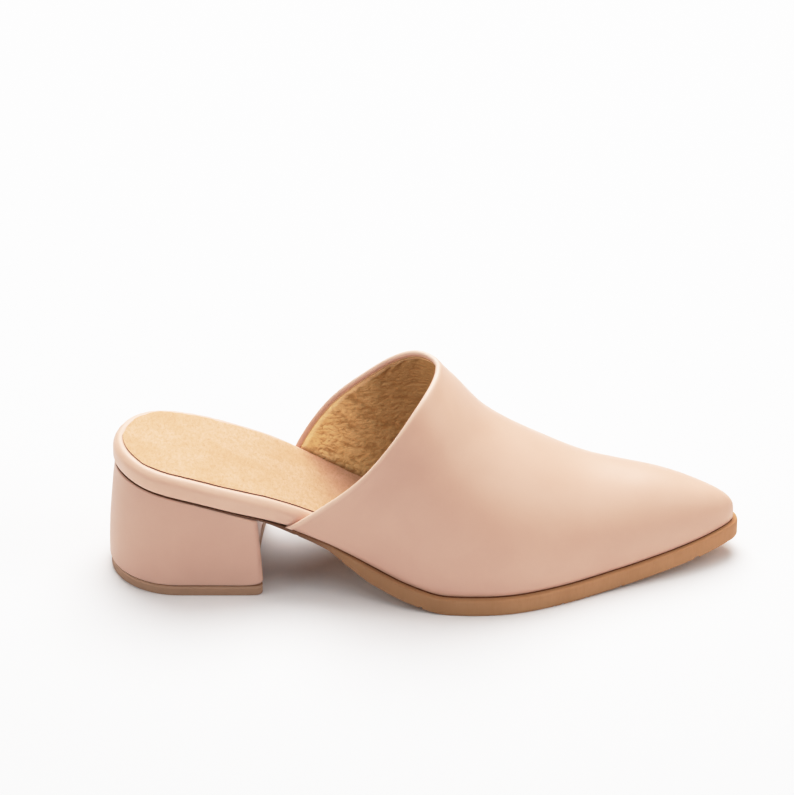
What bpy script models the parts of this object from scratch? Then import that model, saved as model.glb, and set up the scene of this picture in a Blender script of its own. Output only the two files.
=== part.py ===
"""Block heel mule, right shoe, size 38.

Metres, +Z up. The toe points along +X and the inner (medial) side of the foot is +Y.
The origin is at the centre of the heel's foot on the floor.
The form is that of the last: tables give its plan, its seat line and its cross-sections, and every
piece is worked out from the same functions, a named clearance apart.
"""

import math

import bmesh
import bpy
import numpy as np

# Driving sizes
LAST_LENGTH = 0.2585        # back of the seat to the tip of the toe, along the floor
BALL_WIDTH = 0.0790         # last at the feather line, across the ball
SEAT_WIDTH = 0.0606         # last at the feather line, across the seat
INSTEP_HEIGHT = 0.0845      # feather line to the ridge of the last at the throat
SEAT_HEIGHT = 0.0500        # floor to the top of the sole at the back
TOE_SPRING = 0.0080         # rise of the sole at the tip of the toe
THROAT_REACH = 0.1340       # back of the seat to the middle of the topline
LATERAL_CORNER = 0.0725     # back of the seat to the vamp's lower corner, outer side
MEDIAL_CORNER = 0.0730      # back of the seat to the vamp's lower corner, inner side
LATERAL_SWEEP = 0.78        # sweep of the topline on the outer side: under 1 it bows forward
MEDIAL_SWEEP = 1.20         # sweep of the topline on the inner side: over 1 it bows back
UPPER_WALL = 0.0023         # outer leather, stiffener and lining together
INSOLE_THICKNESS = 0.0088   # padded board with its wrapped rim
RIM_ROUNDING = 0.0036       # radius of the rim, seen in section
SOCK_THICKNESS = 0.0010
SOCK_INSET = 0.0044         # rim of the insole left bare round the sock
SOLE_THICKNESS = 0.0074     # under the forefoot
SOLE_LEDGE = 0.0020         # sole beyond the upper, round the toe
SOLE_CHAMFER = 0.0006       # broken edge of the sole
HEEL_LENGTH = 0.0600        # along the top of the block, back to breast
HEEL_SETBACK = 0.0010       # rim beyond the top of the block, at the back
HEEL_INSET = 0.0010         # rim beyond the top of the block, at the sides
BACK_FLARE = 0.0036         # foot of the block beyond its top, at the back
BREAST_FLARE = 0.0022       # foot of the block beyond its top, at the breast
SIDE_FLARE = 0.0012         # foot of the block beyond its top, each side
BREAST_HOLLOW = 0.0020      # depth of the hollow across the breast
BREAST_CORNER = 0.0025      # radius of the breast's upright corners
LIFT_THICKNESS = 0.0046
LIFT_INSET = 0.0006         # block beyond the lift, all round
CLEARANCE = 0.0003          # between neighbouring pieces

# The last's plan at the feather line.
# along: share of LAST_LENGTH. ball: how far BALL_WIDTH rules the width, against SEAT_WIDTH.
# lateral, medial: distance from the heel's axis, as a share of that width.
PLAN_COLUMNS = ("along", "ball", "lateral", "medial")
PLAN = (
    (0.000, 0.0, 0.020, 0.020),
    (0.020, 0.0, -0.260, 0.312),
    (0.060, 0.0, -0.428, 0.458),
    (0.120, 0.0, -0.495, 0.502),
    (0.200, 0.1, -0.482, 0.489),
    (0.280, 0.3, -0.416, 0.434),
    (0.340, 0.5, -0.384, 0.365),
    (0.400, 0.7, -0.392, 0.333),
    (0.460, 0.9, -0.452, 0.343),
    (0.520, 1.0, -0.505, 0.367),
    (0.580, 1.0, -0.525, 0.399),
    (0.640, 1.0, -0.508, 0.418),
    (0.700, 1.0, -0.444, 0.420),
    (0.780, 1.0, -0.320, 0.401),
    (0.860, 1.0, -0.200, 0.354),
    (0.930, 1.0, -0.092, 0.285),
    (0.975, 1.0, -0.001, 0.204),
    (1.000, 1.0, 0.092, 0.092),
)

# The cross-sections of the last.
# ridge: distance of the ridge from the heel's axis, share of BALL_WIDTH. height: ridge above the
# feather line, share of INSTEP_HEIGHT. side, crown: exponents of the section, 1 for an ellipse.
# bulge: how far the wall swells past the feather line, share of BALL_WIDTH.
SECTION_COLUMNS = ("along", "ridge", "height", "side", "crown", "bulge")
SECTIONS = (
    (0.000, 0.000, 0.950, 1.00, 1.00, 0.000),
    (0.280, 0.000, 1.000, 1.00, 0.88, 0.030),
    (0.400, 0.010, 1.010, 1.00, 0.87, 0.050),
    (0.515, 0.030, 1.000, 1.00, 0.87, 0.045),
    (0.580, 0.045, 0.765, 1.00, 0.88, 0.030),
    (0.660, 0.055, 0.582, 1.00, 0.90, 0.020),
    (0.760, 0.070, 0.424, 1.00, 0.88, 0.010),
    (0.860, 0.083, 0.325, 1.00, 0.85, 0.006),
    (0.940, 0.091, 0.214, 1.00, 0.82, 0.003),
    (1.000, 0.092, 0.075, 1.00, 0.80, 0.000),
)

# The seat line: the top of the sole, seen from the side.
# rise: height over the forefoot, share of SEAT_HEIGHT less SOLE_THICKNESS. spring: share of
# TOE_SPRING. sole: thickness, share of SOLE_THICKNESS. ledge: sole edge beyond the last's plan,
# share of the ledge round the toe (SOLE_LEDGE and the wall). board: share of INSOLE_THICKNESS.
PROFILE_COLUMNS = ("along", "rise", "spring", "sole", "ledge", "board")
PROFILE = (
    (0.000, 1.000, 0.00, 0.17, -0.20, 1.00),
    (0.110, 0.900, 0.00, 0.17, -0.20, 1.00),
    (0.235, 0.680, 0.00, 0.17, -0.20, 1.00),
    (0.285, 0.562, 0.00, 0.22, 0.10, 1.00),
    (0.345, 0.400, 0.00, 0.34, 0.40, 1.00),
    (0.380, 0.295, 0.00, 0.70, 0.70, 0.98),
    (0.420, 0.190, 0.00, 1.00, 0.90, 0.92),
    (0.480, 0.070, 0.00, 1.00, 1.00, 0.75),
    (0.540, 0.000, 0.00, 1.00, 1.00, 0.58),
    (0.740, 0.000, 0.00, 1.00, 1.00, 0.40),
    (0.820, 0.000, 0.14, 1.00, 1.00, 0.40),
    (0.920, 0.000, 0.55, 1.00, 1.00, 0.40),
    (1.000, 0.000, 1.00, 1.00, 1.00, 0.40),
)

NUDGE = 1e-4                # small step for finding the direction of a curve

# Mesh fineness
UPPER_STATIONS = 34
UPPER_RIBS = 28
SOLE_STATIONS = 56
RIM_STEPS = 4
HEEL_BACK_STEPS = 12
HEEL_SIDE_STEPS = 4
HEEL_CORNER_STEPS = 3
HEEL_COLUMNS = 8
HEEL_LEVELS = 5


def column_of(table, names, name):
    """One column of a table as a numpy array."""
    return np.array([row[names.index(name)] for row in table])


class FairCurve:
    """A smooth curve through the rows of a table, with even bending from row to row."""

    def __init__(self, at, values):
        self.at = at
        self.values = values
        count = len(at)
        steps = np.diff(at)
        slopes = np.diff(values) / steps
        matrix = np.eye(count)
        right = np.zeros(count)
        for row in range(1, count - 1):
            matrix[row, row - 1] = steps[row - 1]
            matrix[row, row] = 2 * (steps[row - 1] + steps[row])
            matrix[row, row + 1] = steps[row]
            right[row] = 6 * (slopes[row] - slopes[row - 1])
        self.bend = np.linalg.solve(matrix, right)

    def __call__(self, where):
        left = int(np.clip(np.searchsorted(self.at, where) - 1, 0, len(self.at) - 2))
        step = self.at[left + 1] - self.at[left]
        ahead = (where - self.at[left]) / step
        behind = 1 - ahead
        straight = behind * self.values[left] + ahead * self.values[left + 1]
        bent = (behind ** 3 - behind) * self.bend[left] + (ahead ** 3 - ahead) * self.bend[left + 1]
        return straight + bent * step ** 2 / 6


class LevelCurve:
    """A smooth curve through the rows of a table that never overshoots, so that flats stay flat."""

    def __init__(self, at, values):
        self.at = at
        self.values = values
        steps = np.diff(at)
        slopes = np.diff(values) / steps
        self.lean = np.zeros(len(at))
        for row in range(1, len(at) - 1):
            if slopes[row - 1] * slopes[row] > 0:
                self.lean[row] = 2 / (1 / slopes[row - 1] + 1 / slopes[row])
        self.lean[0] = slopes[0] / 2
        self.lean[-1] = slopes[-1] * 1.2

    def __call__(self, where):
        left = int(np.clip(np.searchsorted(self.at, where) - 1, 0, len(self.at) - 2))
        step = self.at[left + 1] - self.at[left]
        t = (where - self.at[left]) / step
        return (
            (2 * t ** 3 - 3 * t ** 2 + 1) * self.values[left]
            + (t ** 3 - 2 * t ** 2 + t) * step * self.lean[left]
            + (3 * t ** 2 - 2 * t ** 3) * self.values[left + 1]
            + (t ** 3 - t ** 2) * step * self.lean[left + 1]
        )


def turn_of(along):
    """The station angle of a share of the length: even steps of it crowd at heel and toe."""
    return math.acos(1 - 2 * min(max(along, 0.0), 1.0))


def along_of(turn):
    """The share of the length at a station angle."""
    return (1 - math.cos(turn)) / 2


def curves(kind, table, names, place=lambda along: along):
    """A curve for each column of a table but the first."""
    at = np.array([place(row[0]) for row in table])
    return {name: kind(at, column_of(table, names, name)) for name in names[1:]}


PLAN_CURVES = curves(FairCurve, PLAN, PLAN_COLUMNS, turn_of)
SECTION_CURVES = curves(FairCurve, SECTIONS, SECTION_COLUMNS, turn_of)
PROFILE_CURVES = curves(LevelCurve, PROFILE, PROFILE_COLUMNS)

# The heel's foot: where the block meets the lift, seen from above
FOOT_BACK = HEEL_SETBACK - BACK_FLARE
FOOT_FRONT = HEEL_SETBACK + HEEL_LENGTH + BREAST_FLARE
LAST_BACK = -(FOOT_BACK + FOOT_FRONT) / 2


def share_at(x):
    """The share of the last's length at a world X."""
    return min(max((x - LAST_BACK) / LAST_LENGTH, 0.0), 1.0)


def sole_top(x):
    """Height of the sole's top, which the upper and the insole stand on."""
    along = share_at(x)
    rise = PROFILE_CURVES["rise"](along) * (SEAT_HEIGHT - SOLE_THICKNESS)
    spring = PROFILE_CURVES["spring"](along) * TOE_SPRING
    return SOLE_THICKNESS + rise + spring


def sole_bottom(x):
    """Height of the sole's underside."""
    return sole_top(x) - PROFILE_CURVES["sole"](share_at(x)) * SOLE_THICKNESS


def insole_top(x):
    """Height of the insole's top, which the sock lies on."""
    board = PROFILE_CURVES["board"](share_at(x)) * INSOLE_THICKNESS
    return sole_top(x) + CLEARANCE + board


def plan_point(turn, side):
    """The last's plan at a station angle, on side -1 (lateral) or 1 (medial)."""
    ball = PLAN_CURVES["ball"](turn)
    width = SEAT_WIDTH * (1 - ball) + BALL_WIDTH * ball
    reach = PLAN_CURVES["lateral" if side < 0 else "medial"](turn)
    return np.array([LAST_BACK + LAST_LENGTH * along_of(turn), reach * width])


def plan_offset(turn, side, outward):
    """The last's plan moved outward, square to its edge."""
    if turn <= NUDGE or turn >= math.pi - NUDGE:
        return plan_point(turn, side) + outward * np.array([-math.cos(turn), 0.0])
    run = plan_point(turn + NUDGE, side) - plan_point(turn - NUDGE, side)
    run /= np.linalg.norm(run)
    return plan_point(turn, side) + outward * side * np.array([-run[1], run[0]])


def last_point(turn, lean):
    """A point of the last's surface: lean runs from -90 degrees, lateral, over the ridge to 90."""
    side = -1 if lean < 0 else 1
    feather = plan_point(turn, side)
    section = {name: curve(turn) for name, curve in SECTION_CURVES.items()}
    ridge = section["ridge"] * BALL_WIDTH
    rise = max(math.cos(lean), 0.0)
    out = abs(math.sin(lean))
    swell = section["bulge"] * BALL_WIDTH * 2 * rise * out ** 3
    across = ridge + (feather[1] - ridge) * out ** section["side"] + side * swell
    height = section["height"] * INSTEP_HEIGHT * rise ** section["crown"]
    return np.array([feather[0], across, sole_top(feather[0]) + CLEARANCE + height])


def last_normal(turn, lean):
    """Outward direction of the last's surface, level where it meets the sole."""
    edge = math.pi / 2
    if turn >= math.pi - NUDGE:
        return np.array([1.0, 0.0, 0.0])
    along = last_point(turn + NUDGE, lean) - last_point(turn - NUDGE, lean)
    around = last_point(turn, min(lean + NUDGE, edge)) - last_point(turn, max(lean - NUDGE, -edge))
    normal = np.cross(along, around)
    normal /= np.linalg.norm(normal)
    if abs(lean) > edge - NUDGE:
        normal[2] = 0.0
        normal /= np.linalg.norm(normal)
    return normal


def topline_turn(lean):
    """Station angle of the topline, which runs from the corners up to the throat."""
    climb = max(math.cos(lean), 0.0)
    corner, sweep = (MEDIAL_CORNER, MEDIAL_SWEEP) if lean > 0 else (LATERAL_CORNER, LATERAL_SWEEP)
    return turn_of((corner + (THROAT_REACH - corner) * climb ** sweep) / LAST_LENGTH)


def loft(name, rings, caps=()):
    """A closed solid through rings of points; rings that shrink to a line or a point close it."""
    mesh = bmesh.new()
    rows = [[mesh.verts.new(point) for point in ring] for ring in rings]
    for row, following in zip(rows, rows[1:]):
        for index in range(len(row)):
            after = (index + 1) % len(row)
            mesh.faces.new((row[index], row[after], following[after], following[index]))
    for row_index, corners in caps:
        mesh.faces.new([rows[row_index][corner] for corner in corners])
    bmesh.ops.remove_doubles(mesh, verts=mesh.verts, dist=1e-6)
    bmesh.ops.dissolve_degenerate(mesh, edges=mesh.edges, dist=1e-6)
    bmesh.ops.triangulate(mesh, faces=mesh.faces)
    bmesh.ops.recalc_face_normals(mesh, faces=mesh.faces)
    if mesh.calc_volume(signed=True) < 0:
        bmesh.ops.reverse_faces(mesh, faces=mesh.faces)
    data = bpy.data.meshes.new(name)
    mesh.to_mesh(data)
    mesh.free()
    data.shade_smooth()
    data.set_sharp_from_angle(angle=math.radians(40))
    piece = bpy.data.objects.new(name, data)
    bpy.context.scene.collection.objects.link(piece)
    return piece


def paint(piece, colour, roughness):
    """Give a piece its own plain material."""
    material = bpy.data.materials.new(piece.name)
    material.use_nodes = True
    shader = material.node_tree.nodes["Principled BSDF"]
    shader.inputs["Base Color"].default_value = (*colour, 1.0)
    shader.inputs["Roughness"].default_value = roughness
    shader.inputs["Metallic"].default_value = 0.0
    piece.data.materials.append(material)


def make_upper():
    """The vamp: a wall round the last, open at the topline and over the sole."""
    leans = [math.pi * (rib / UPPER_RIBS - 0.5) for rib in range(UPPER_RIBS + 1)]
    rings = []
    for station in range(UPPER_STATIONS + 1):
        outer = []
        inner = []
        for lean in leans:
            start = topline_turn(lean)
            turn = start + (math.pi - start) * station / UPPER_STATIONS
            point = last_point(turn, lean)
            skin = point + last_normal(turn, lean) * UPPER_WALL
            if abs(lean) > math.pi / 2 - 1e-6:
                skin[2] = sole_top(skin[0]) + CLEARANCE
            inner.append(point)
            outer.append(skin)
        rings.append(outer + inner[::-1])
    count = 2 * len(leans)
    topline = [(0, (rib, rib + 1, count - 2 - rib, count - 1 - rib)) for rib in range(UPPER_RIBS)]
    piece = loft("upper", rings, topline)
    paint(piece, (0.78, 0.52, 0.42), 0.45)


def slab_rings(edge, top, bottom):
    """Rings along the foot for a slab whose edge is given as (outward, share of height) steps."""
    rings = []
    for station in range(SOLE_STATIONS + 1):
        turn = math.pi * station / SOLE_STATIONS
        ring = []
        for side, steps in ((-1, edge), (1, edge[::-1])):
            for outward, share in steps:
                x, y = plan_offset(turn, side, outward(turn))
                low = bottom(x)
                ring.append((x, y, low + (top(x) - low) * share))
        rings.append(ring)
    return rings


def rim_edge(grow, thickness, radius):
    """The edge of a slab, rounded above and below."""
    steps = []
    for step in range(RIM_STEPS + 1):
        angle = math.pi / 2 * step / RIM_STEPS
        inset = radius * (1 - math.sin(angle))
        rise = radius * (1 - math.cos(angle)) / thickness
        steps.append((inset, rise))
    upper = [(inset, 1 - rise) for inset, rise in reversed(steps)]
    return [(lambda turn, inset=inset: grow - inset, share) for inset, share in steps + upper]


def make_insole():
    """The padded board with its wrapped, rounded rim."""
    edge = rim_edge(-CLEARANCE, INSOLE_THICKNESS, RIM_ROUNDING)

    def bottom(x):
        return sole_top(x) + CLEARANCE

    piece = loft("insole", slab_rings(edge, insole_top, bottom))
    paint(piece, (0.80, 0.55, 0.45), 0.45)


def make_sock():
    """The thin sock on the insole."""
    def outward(turn):
        return -CLEARANCE - SOCK_INSET

    def bottom(x):
        return insole_top(x) + CLEARANCE

    def top(x):
        return bottom(x) + SOCK_THICKNESS

    edge = [(outward, 0.0), (outward, 1.0)]
    piece = loft("sock_lining", slab_rings(edge, top, bottom))
    paint(piece, (0.76, 0.58, 0.36), 0.9)


def make_outsole():
    """The sole, from the back of the seat to the toe."""
    def outward(turn):
        return PROFILE_CURVES["ledge"](along_of(turn)) * (SOLE_LEDGE + UPPER_WALL)

    def broken(turn):
        return outward(turn) - SOLE_CHAMFER

    share = SOLE_CHAMFER / SOLE_THICKNESS
    edge = [(broken, 0.0), (outward, share), (outward, 1 - share), (broken, 1.0)]
    piece = loft("outsole", slab_rings(edge, sole_top, sole_bottom))
    paint(piece, (0.52, 0.27, 0.12), 0.6)


def heel_point(station, across, depth, inset):
    """The heel's plan: station 0 at the back to 1 at the breast, depth 0 at the top to 1 below."""
    back = LAST_BACK + HEEL_SETBACK - BACK_FLARE * math.sin(depth * math.pi / 2) + inset
    front = LAST_BACK + HEEL_SETBACK + HEEL_LENGTH + BREAST_FLARE * depth - inset
    half = SEAT_WIDTH / 2 - HEEL_INSET + SIDE_FLARE * depth - inset
    length = front - back
    round_share = half / length
    x = back + station * length
    width = 1.0
    if station < round_share:
        width = math.sqrt(max(1 - (1 - station / round_share) ** 2, 0.0))
    to_breast = (1 - station) * length
    corner = 0.0
    if to_breast < BREAST_CORNER:
        corner = BREAST_CORNER - math.sqrt(max(BREAST_CORNER ** 2 - (BREAST_CORNER - to_breast) ** 2, 0.0))
    hollow = BREAST_HOLLOW * (1 - across ** 2) * station ** 3
    return np.array([x - hollow, across * (half * width - corner)])


def heel_stations():
    """Shares of the heel's length where its rings stand, closer at the back and the breast."""
    length = HEEL_LENGTH + BACK_FLARE + BREAST_FLARE
    round_share = (SEAT_WIDTH / 2 - HEEL_INSET) / length
    corner_share = BREAST_CORNER / length
    stations = [
        round_share * (1 - math.cos(math.pi / 2 * step / HEEL_BACK_STEPS)) for step in range(HEEL_BACK_STEPS)
    ]
    run = 1 - corner_share - round_share
    stations += [round_share + run * step / HEEL_SIDE_STEPS for step in range(HEEL_SIDE_STEPS)]
    stations += [
        1 - corner_share + corner_share * math.sin(math.pi / 2 * step / HEEL_CORNER_STEPS)
        for step in range(HEEL_CORNER_STEPS + 1)
    ]
    return stations


def heel_solid(name, top, bottom, depths, inset):
    """A piece of the heel between two heights, with its sides at the given depths."""
    columns = [2 * step / HEEL_COLUMNS - 1 for step in range(HEEL_COLUMNS + 1)]
    rings = []
    for station in heel_stations():
        ring = []
        for across in columns:
            x, y = heel_point(station, across, depths[0], inset)
            ring.append((x, y, top(x)))
        for side, sequence in ((1, depths[1:-1]), (-1, depths[-2:0:-1])):
            if side < 0:
                for across in reversed(columns):
                    x, y = heel_point(station, across, depths[-1], inset)
                    ring.append((x, y, bottom))
            for depth in sequence:
                x, y = heel_point(station, side, depth, inset)
                share = (depth - depths[0]) / (depths[-1] - depths[0])
                ring.append((x, y, top(x) + (bottom - top(x)) * share))
        rings.append(ring)
    last = len(rings) - 1
    size = len(columns)
    levels = len(depths) - 2
    low = [size + levels + step for step in range(size)][::-1]
    caps = []
    for step in range(size - 1):
        corners = [step + 1, step, low[step], low[step + 1]]
        if step == 0:
            left = list(range(size + levels + size, size + levels + size + levels))[::-1]
            corners = [1, 0] + left + [low[0], low[1]]
        if step == size - 2:
            right = list(range(size, size + levels))
            corners = [size - 1, size - 2, low[size - 2], low[size - 1]] + right[::-1]
        caps.append((last, corners))
    return loft(name, rings, caps)


def make_heel():
    """The block and the lift below it."""
    def block_top(x):
        return sole_bottom(x) - CLEARANCE

    depths = [level / HEEL_LEVELS for level in range(HEEL_LEVELS + 1)]
    block = heel_solid("heel_block", block_top, LIFT_THICKNESS + CLEARANCE, depths, 0.0)
    paint(block, (0.74, 0.48, 0.38), 0.45)
    lift = heel_solid("top_lift", lambda x: LIFT_THICKNESS, 0.0, [1.0, 1.0], LIFT_INSET)
    paint(lift, (0.32, 0.19, 0.12), 0.7)


def main():
    for old in list(bpy.data.objects):
        bpy.data.objects.remove(old)
    make_upper()
    make_insole()
    make_sock()
    make_outsole()
    make_heel()


main()
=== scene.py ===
"""Block heel mule, right shoe: its looks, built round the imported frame.

The visible pieces are made here again from the last's own tables, in finer meshes than the solids
that they stand for: the vamp with its folded topline, the wrinkled lining, the wrapped rim, the
suede sock, the sole, the covered heel and its lift. Each has a material made of nodes.
Metres, +Z up, toe along +X, inner (medial) side +Y.
"""

import math

import bmesh
import bpy
import numpy as np
from bpy.props import FloatProperty, FloatVectorProperty, PointerProperty
from mathutils import Matrix, Vector, noise


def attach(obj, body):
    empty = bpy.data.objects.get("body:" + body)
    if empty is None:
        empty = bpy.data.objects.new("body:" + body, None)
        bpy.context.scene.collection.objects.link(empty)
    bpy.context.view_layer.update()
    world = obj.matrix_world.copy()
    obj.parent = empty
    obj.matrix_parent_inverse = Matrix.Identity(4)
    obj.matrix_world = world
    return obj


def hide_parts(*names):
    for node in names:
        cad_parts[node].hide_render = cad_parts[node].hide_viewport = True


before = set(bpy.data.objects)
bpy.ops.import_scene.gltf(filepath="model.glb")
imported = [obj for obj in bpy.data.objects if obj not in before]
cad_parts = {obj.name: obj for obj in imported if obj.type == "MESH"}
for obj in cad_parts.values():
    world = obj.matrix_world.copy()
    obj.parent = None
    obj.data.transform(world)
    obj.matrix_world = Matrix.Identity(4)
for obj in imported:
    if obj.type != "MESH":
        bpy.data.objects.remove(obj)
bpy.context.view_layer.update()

bl_info = {
    "name": "Block heel mule",
    "version": (1, 0, 0),
    "blender": (4, 5, 0),
    "location": "3D View > Sidebar > Mule",
    "description": "Dresses the mule's solids as leather, suede and sole rubber",
    "category": "Object",
}

BODY = "root"
MILLIMETRE = 0.001
PER_METRE = 1000            # millimetres in a metre

# Driving sizes
LAST_LENGTH = 0.2585        # back of the seat to the tip of the toe, along the floor
BALL_WIDTH = 0.0790         # last at the feather line, across the ball
SEAT_WIDTH = 0.0606         # last at the feather line, across the seat
INSTEP_HEIGHT = 0.0845      # feather line to the ridge of the last at the throat
SEAT_HEIGHT = 0.0500        # floor to the top of the sole at the back
TOE_SPRING = 0.0080         # rise of the sole at the tip of the toe
THROAT_REACH = 0.1340       # back of the seat to the middle of the topline
LATERAL_CORNER = 0.0725     # back of the seat to the vamp's lower corner, outer side
MEDIAL_CORNER = 0.0730      # back of the seat to the vamp's lower corner, inner side
LATERAL_SWEEP = 0.78        # sweep of the topline on the outer side: under 1 it bows forward
MEDIAL_RISE = 0.65          # how evenly the topline climbs on the inner side: 1 for a straight climb
MEDIAL_FULLNESS = 1.35      # swell of the wall on the inner side, against the outer side
UPPER_WALL = 0.0023         # outer leather, stiffener and lining together
TUCK = 0.0007               # how far the vamp turns in where it meets the sole
LINING_THICKNESS = 0.00075
LINING_OVERLAP = 0.00045    # lining hidden under the turned topline
LINING_ROW = 0.00055        # between the rows of the lining's mesh
CORNER_WALL = 0.0012        # the wall, skived thin at the vamp's lower corners
CORNER_SKIVE = 0.0120       # length over which the wall thins toward a corner
INSOLE_THICKNESS = 0.0088   # padded board with its wrapped rim
RIM_ROUNDING = 0.0036       # radius of the rim, seen in section
SOCK_THICKNESS = 0.00062    # thinner than the solid: the suede lies flat
SOCK_INSET = 0.0044         # rim of the insole left bare round the sock
SOCK_SPREAD = 0.0017        # how much less of it is bare inside the vamp, on the inner side
SOLE_THICKNESS = 0.0074     # under the forefoot
SOLE_LEDGE = 0.0020         # sole beyond the upper, round the toe
HEEL_LENGTH = 0.0600        # along the top of the block, back to breast
HEEL_SETBACK = 0.0010       # rim beyond the top of the block, at the back
HEEL_INSET = 0.0010         # rim beyond the top of the block, at the sides
BACK_FLARE = 0.0036         # foot of the block beyond its top, at the back
BREAST_FLARE = 0.0022       # foot of the block beyond its top, at the breast
SIDE_FLARE = 0.0012         # foot of the block beyond its top, each side
BREAST_HOLLOW = 0.0020      # depth of the hollow across the breast
BREAST_CORNER = 0.0025      # radius of the breast's upright corners
HEEL_EDGE = 0.0011          # radius of the cover's edges
AT_BREAST = 0.999           # stations of the heel's plan beyond this lie on the breast
LIFT_THICKNESS = 0.0046
LIFT_EDGE = 0.00035         # radius of the lift's edges
LIFT_INSET = 0.0006         # block beyond the lift, all round
CLEARANCE = 0.0003          # between neighbouring pieces

# The last's plan at the feather line.
# along: share of LAST_LENGTH. ball: how far BALL_WIDTH rules the width, against SEAT_WIDTH.
# lateral, medial: distance from the heel's axis, as a share of that width.
PLAN_COLUMNS = ("along", "ball", "lateral", "medial")
PLAN = (
    (0.000, 0.0, 0.020, 0.020),
    (0.020, 0.0, -0.260, 0.312),
    (0.060, 0.0, -0.428, 0.458),
    (0.120, 0.0, -0.495, 0.502),
    (0.200, 0.1, -0.482, 0.489),
    (0.280, 0.3, -0.416, 0.434),
    (0.340, 0.5, -0.384, 0.365),
    (0.400, 0.7, -0.392, 0.333),
    (0.460, 0.9, -0.452, 0.343),
    (0.520, 1.0, -0.505, 0.367),
    (0.580, 1.0, -0.525, 0.399),
    (0.640, 1.0, -0.508, 0.418),
    (0.700, 1.0, -0.444, 0.420),
    (0.780, 1.0, -0.320, 0.401),
    (0.860, 1.0, -0.200, 0.354),
    (0.930, 1.0, -0.092, 0.285),
    (0.975, 1.0, -0.001, 0.204),
    (1.000, 1.0, 0.092, 0.092),
)

# The cross-sections of the last.
# ridge: distance of the ridge from the heel's axis, share of BALL_WIDTH. height: ridge above the
# feather line, share of INSTEP_HEIGHT. side, crown: exponents of the section, 1 for an ellipse.
# bulge: how far the wall swells past the feather line, share of BALL_WIDTH.
SECTION_COLUMNS = ("along", "ridge", "height", "side", "crown", "bulge")
SECTIONS = (
    (0.000, 0.000, 0.950, 1.00, 1.00, 0.000),
    (0.280, 0.000, 1.000, 1.00, 0.88, 0.030),
    (0.400, 0.010, 0.975, 1.00, 0.87, 0.050),
    (0.515, 0.030, 0.990, 1.00, 0.87, 0.045),
    (0.580, 0.045, 0.765, 1.00, 0.88, 0.030),
    (0.660, 0.055, 0.582, 1.00, 0.90, 0.020),
    (0.760, 0.070, 0.424, 1.00, 0.88, 0.010),
    (0.860, 0.083, 0.322, 1.00, 0.85, 0.006),
    (0.940, 0.091, 0.209, 1.00, 0.82, 0.003),
    (1.000, 0.092, 0.058, 1.00, 0.80, 0.000),
)

# The seat line: the top of the sole, seen from the side.
# rise: height over the forefoot, share of SEAT_HEIGHT less SOLE_THICKNESS. spring: share of
# TOE_SPRING. sole: thickness, share of SOLE_THICKNESS. ledge: sole edge beyond the last's plan,
# share of the ledge round the toe (SOLE_LEDGE and the wall). board: share of INSOLE_THICKNESS.
PROFILE_COLUMNS = ("along", "rise", "spring", "sole", "ledge", "board")
PROFILE = (
    (0.000, 1.000, 0.00, 0.17, -0.20, 1.00),
    (0.110, 0.900, 0.00, 0.17, -0.20, 1.00),
    (0.235, 0.680, 0.00, 0.17, -0.20, 1.00),
    (0.285, 0.562, 0.00, 0.22, 0.10, 1.00),
    (0.345, 0.400, 0.00, 0.34, 0.40, 1.00),
    (0.380, 0.295, 0.00, 0.70, 0.70, 0.98),
    (0.420, 0.190, 0.00, 1.00, 0.90, 0.92),
    (0.480, 0.070, 0.00, 1.00, 1.00, 0.75),
    (0.540, 0.000, 0.00, 1.00, 1.00, 0.58),
    (0.740, 0.000, 0.00, 1.00, 1.00, 0.40),
    (0.820, 0.000, 0.14, 1.00, 1.00, 0.40),
    (0.920, 0.000, 0.55, 1.00, 1.00, 0.40),
    (1.000, 0.000, 1.00, 1.00, 1.00, 0.40),
)


NUDGE = 1e-4                # small step for finding the direction of a curve
FEATHER = math.pi / 2       # lean of the feather line, where the last's wall meets the sole


class Curve:
    """A curve through the rows of a table, at places that rise from row to row."""

    def __init__(self, at, values):
        self.at = at
        self.values = values
        self.steps = np.diff(at)
        self.slopes = np.diff(values) / self.steps

    def find(self, where):
        """The row before a place, the gap to the next row and the share of that gap."""
        left = np.clip(np.searchsorted(self.at, where) - 1, 0, len(self.at) - 2)
        return left, self.steps[left], (where - self.at[left]) / self.steps[left]


class FairCurve(Curve):
    """A smooth curve with even bending from row to row."""

    def __init__(self, at, values):
        super().__init__(at, values)
        matrix = np.eye(len(at))
        right = np.zeros(len(at))
        for row in range(1, len(at) - 1):
            before, after = self.steps[row - 1], self.steps[row]
            matrix[row, row - 1:row + 2] = before, 2 * (before + after), after
            right[row] = 6 * (self.slopes[row] - self.slopes[row - 1])
        self.bend = np.linalg.solve(matrix, right)

    def __call__(self, where):
        left, step, ahead = self.find(where)
        behind = 1 - ahead
        straight = behind * self.values[left] + ahead * self.values[left + 1]
        bent = (behind ** 3 - behind) * self.bend[left] + (ahead ** 3 - ahead) * self.bend[left + 1]
        return straight + bent * step ** 2 / 6


class LevelCurve(Curve):
    """A smooth curve that never overshoots, so that flats stay flat."""

    def __init__(self, at, values):
        super().__init__(at, values)
        self.lean = np.zeros(len(at))
        for row in range(1, len(at) - 1):
            before, after = self.slopes[row - 1], self.slopes[row]
            if before * after > 0:
                self.lean[row] = 2 / (1 / before + 1 / after)
        self.lean[0] = self.slopes[0] / 2
        self.lean[-1] = self.slopes[-1] * 1.2

    def __call__(self, where):
        left, step, t = self.find(where)
        return (
            (2 * t ** 3 - 3 * t ** 2 + 1) * self.values[left]
            + (t ** 3 - 2 * t ** 2 + t) * step * self.lean[left]
            + (3 * t ** 2 - 2 * t ** 3) * self.values[left + 1]
            + (t ** 3 - t ** 2) * step * self.lean[left + 1]
        )


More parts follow.
